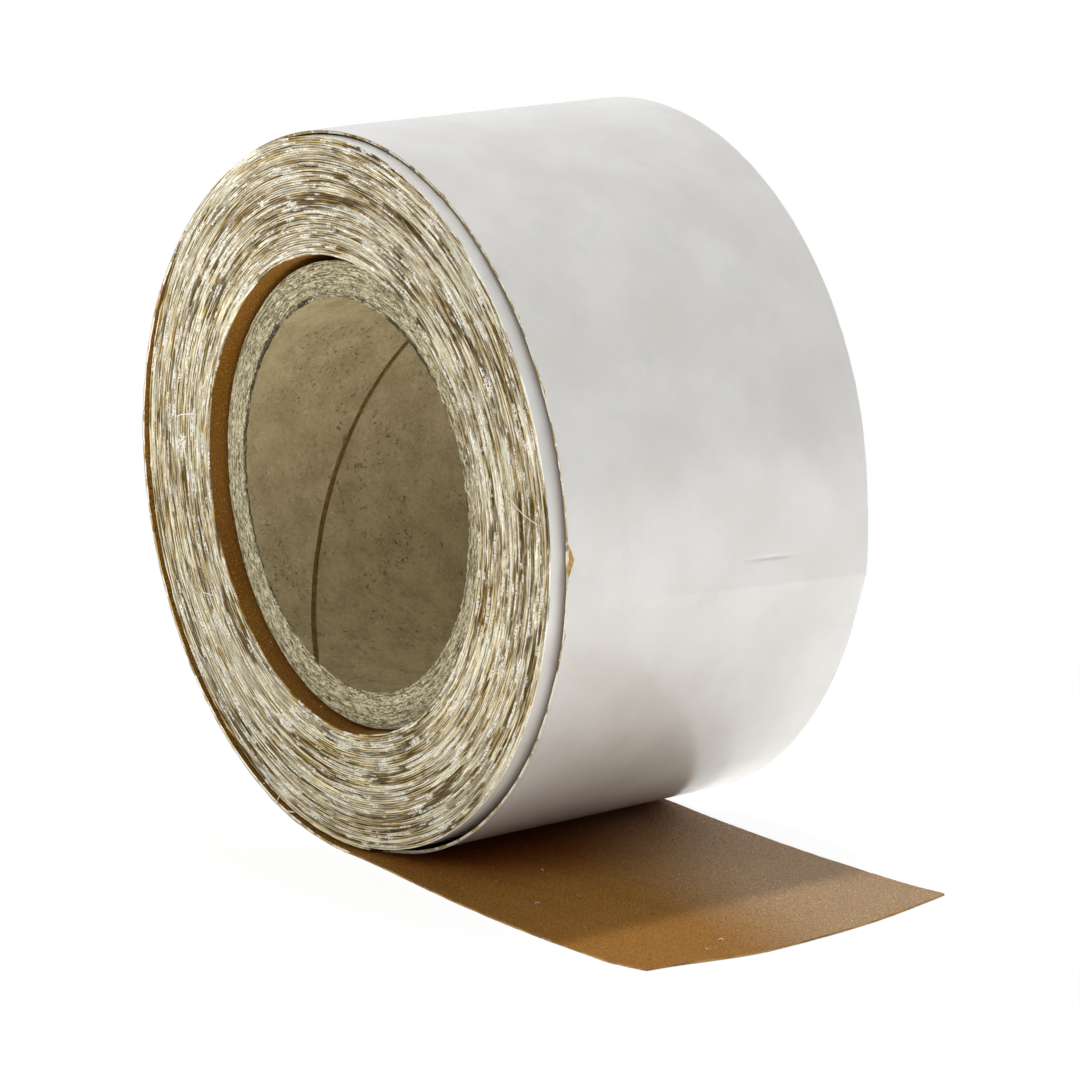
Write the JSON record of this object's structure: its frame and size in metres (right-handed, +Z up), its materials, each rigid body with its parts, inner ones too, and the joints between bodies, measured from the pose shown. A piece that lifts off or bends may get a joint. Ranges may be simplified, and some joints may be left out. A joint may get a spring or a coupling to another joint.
{
  "type": "abrasive paper roll",
  "caption": "Roll of self-adhesive abrasive paper: a strip with a release liner wound abrasive side in on a paperboard core, its loose end lying on the table.",
  "frame": {"origin": "on the table, at the flat underside of the release liner directly below the roll's axis, midway between the two end faces of the wound pack", "axes": "+Z up, Y along the roll's axis with the face shown to the viewer at -Y, +X the way the loose end runs out"},
  "size_m": [0.1838, 0.0891, 0.1395],
  "materials": {
    "abrasive_sheet": "matt, closely gritted, brown",
    "adhesive_film": "tacky satin, honey coloured",
    "release_liner": "smooth, satin silicone-coated white paper",
    "wound_edge": "fibrous cut paper edges, white with golden-brown lines",
    "core_board": "matt grey-olive recycled board with dark flecks"
  },
  "bodies": {
    "outer_turn": {"outer_turn_sheet": "abrasive_sheet", "outer_turn_adhesive": "adhesive_film", "outer_turn_liner": "release_liner"},
    "roll": {"winding_10": "wound_edge"},
    "band_09": {"winding_09": "wound_edge"},
    "band_08": {"winding_08": "wound_edge"},
    "band_07": {"winding_07": "wound_edge"},
    "band_06": {"winding_06": "wound_edge"},
    "band_05": {"winding_05": "wound_edge"},
    "band_04": {"winding_04": "wound_edge"},
    "band_03": {"winding_03": "wound_edge"},
    "band_02": {"winding_02": "wound_edge"},
    "band_01": {"winding_01": "wound_edge"},
    "core": {"core_inner_ply": "core_board", "core_wall_ply_1": "core_board", "core_wall_ply_2": "core_board", "core_wall_ply_3": "core_board", "core_outer_ply": "core_board"},
    "tail_1": {"tail_sheet_1": "abrasive_sheet", "tail_adhesive_1": "adhesive_film", "tail_liner_1": "release_liner"},
    "tail_2": {"tail_sheet_2": "abrasive_sheet", "tail_adhesive_2": "adhesive_film", "tail_liner_2": "release_liner"},
    "tail_3": {"tail_sheet_3": "abrasive_sheet", "tail_adhesive_3": "adhesive_film", "tail_liner_3": "release_liner"},
    "tail_4": {"tail_sheet_4": "abrasive_sheet", "tail_adhesive_4": "adhesive_film", "tail_liner_4": "release_liner"},
    "sheet_tip": {"tip_sheet": "abrasive_sheet", "tip_adhesive": "adhesive_film"}
  },
  "joints": [
    {"name": "roll_spin", "type": "hinge", "parent": "outer_turn", "child": "roll", "pos_m": [0, 0, 0.06988], "axis": [0, 1, 0], "continuous": true},
    {"name": "core_slide", "type": "slide", "parent": "roll", "child": "core", "axis": [0, 1, 0], "range_m": [-0.003, 0.008]},
    {"name": "band_01_slide", "type": "slide", "parent": "roll", "child": "band_01", "axis": [0, 1, 0], "range_m": [-0.0028, 0.0073]},
    {"name": "band_02_slide", "type": "slide", "parent": "roll", "child": "band_02", "axis": [0, 1, 0], "range_m": [-0.0025, 0.0065]},
    {"name": "band_03_slide", "type": "slide", "parent": "roll", "child": "band_03", "axis": [0, 1, 0], "range_m": [-0.0022, 0.0057]},
    {"name": "band_04_slide", "type": "slide", "parent": "roll", "child": "band_04", "axis": [0, 1, 0], "range_m": [-0.0019, 0.0049]},
    {"name": "band_05_slide", "type": "slide", "parent": "roll", "child": "band_05", "axis": [0, 1, 0], "range_m": [-0.0016, 0.0041]},
    {"name": "band_06_slide", "type": "slide", "parent": "roll", "child": "band_06", "axis": [0, 1, 0], "range_m": [-0.0013, 0.0033]},
    {"name": "band_07_slide", "type": "slide", "parent": "roll", "child": "band_07", "axis": [0, 1, 0], "range_m": [-0.001, 0.0025]},
    {"name": "band_08_slide", "type": "slide", "parent": "roll", "child": "band_08", "axis": [0, 1, 0], "range_m": [-0.0007, 0.0017]},
    {"name": "band_09_slide", "type": "slide", "parent": "roll", "child": "band_09", "axis": [0, 1, 0], "range_m": [-0.0004, 0.0009]},
    {"name": "tail_lift", "type": "hinge", "parent": "outer_turn", "child": "tail_1", "pos_m": [0.0099, 0, 0.00043], "axis": [0, -1, 0], "range_deg": [0, 12]},
    {"name": "tail_curl_2", "type": "hinge", "parent": "tail_1", "child": "tail_2", "pos_m": [0.0297, 0, 0.00043], "axis": [0, -1, 0], "range_deg": [-0.5, 12.5]},
    {"name": "tail_curl_3", "type": "hinge", "parent": "tail_2", "child": "tail_3", "pos_m": [0.0495, 0, 0.00043], "axis": [0, -1, 0], "range_deg": [-0.5, 12.5]},
    {"name": "tail_curl_4", "type": "hinge", "parent": "tail_3", "child": "tail_4", "pos_m": [0.0694, 0, 0.00043], "axis": [0, -1, 0], "range_deg": [-0.5, 12.5]},
    {"name": "sheet_peel", "type": "hinge", "parent": "tail_4", "child": "sheet_tip", "pos_m": [0.09, 0, 0.00043], "axis": [0, -1, 0], "range_deg": [0, 45]}
  ],
  "couplings": [
    {"joint": "band_01_slide", "follows": "core_slide", "ratio": 0.9},
    {"joint": "band_02_slide", "follows": "core_slide", "ratio": 0.8},
    {"joint": "band_03_slide", "follows": "core_slide", "ratio": 0.7},
    {"joint": "band_04_slide", "follows": "core_slide", "ratio": 0.6},
    {"joint": "band_05_slide", "follows": "core_slide", "ratio": 0.5},
    {"joint": "band_06_slide", "follows": "core_slide", "ratio": 0.4},
    {"joint": "band_07_slide", "follows": "core_slide", "ratio": 0.3},
    {"joint": "band_08_slide", "follows": "core_slide", "ratio": 0.2},
    {"joint": "band_09_slide", "follows": "core_slide", "ratio": 0.1},
    {"joint": "tail_curl_2", "follows": "tail_lift", "ratio": 1},
    {"joint": "tail_curl_3", "follows": "tail_lift", "ratio": 1},
    {"joint": "tail_curl_4", "follows": "tail_lift", "ratio": 1}
  ]
}
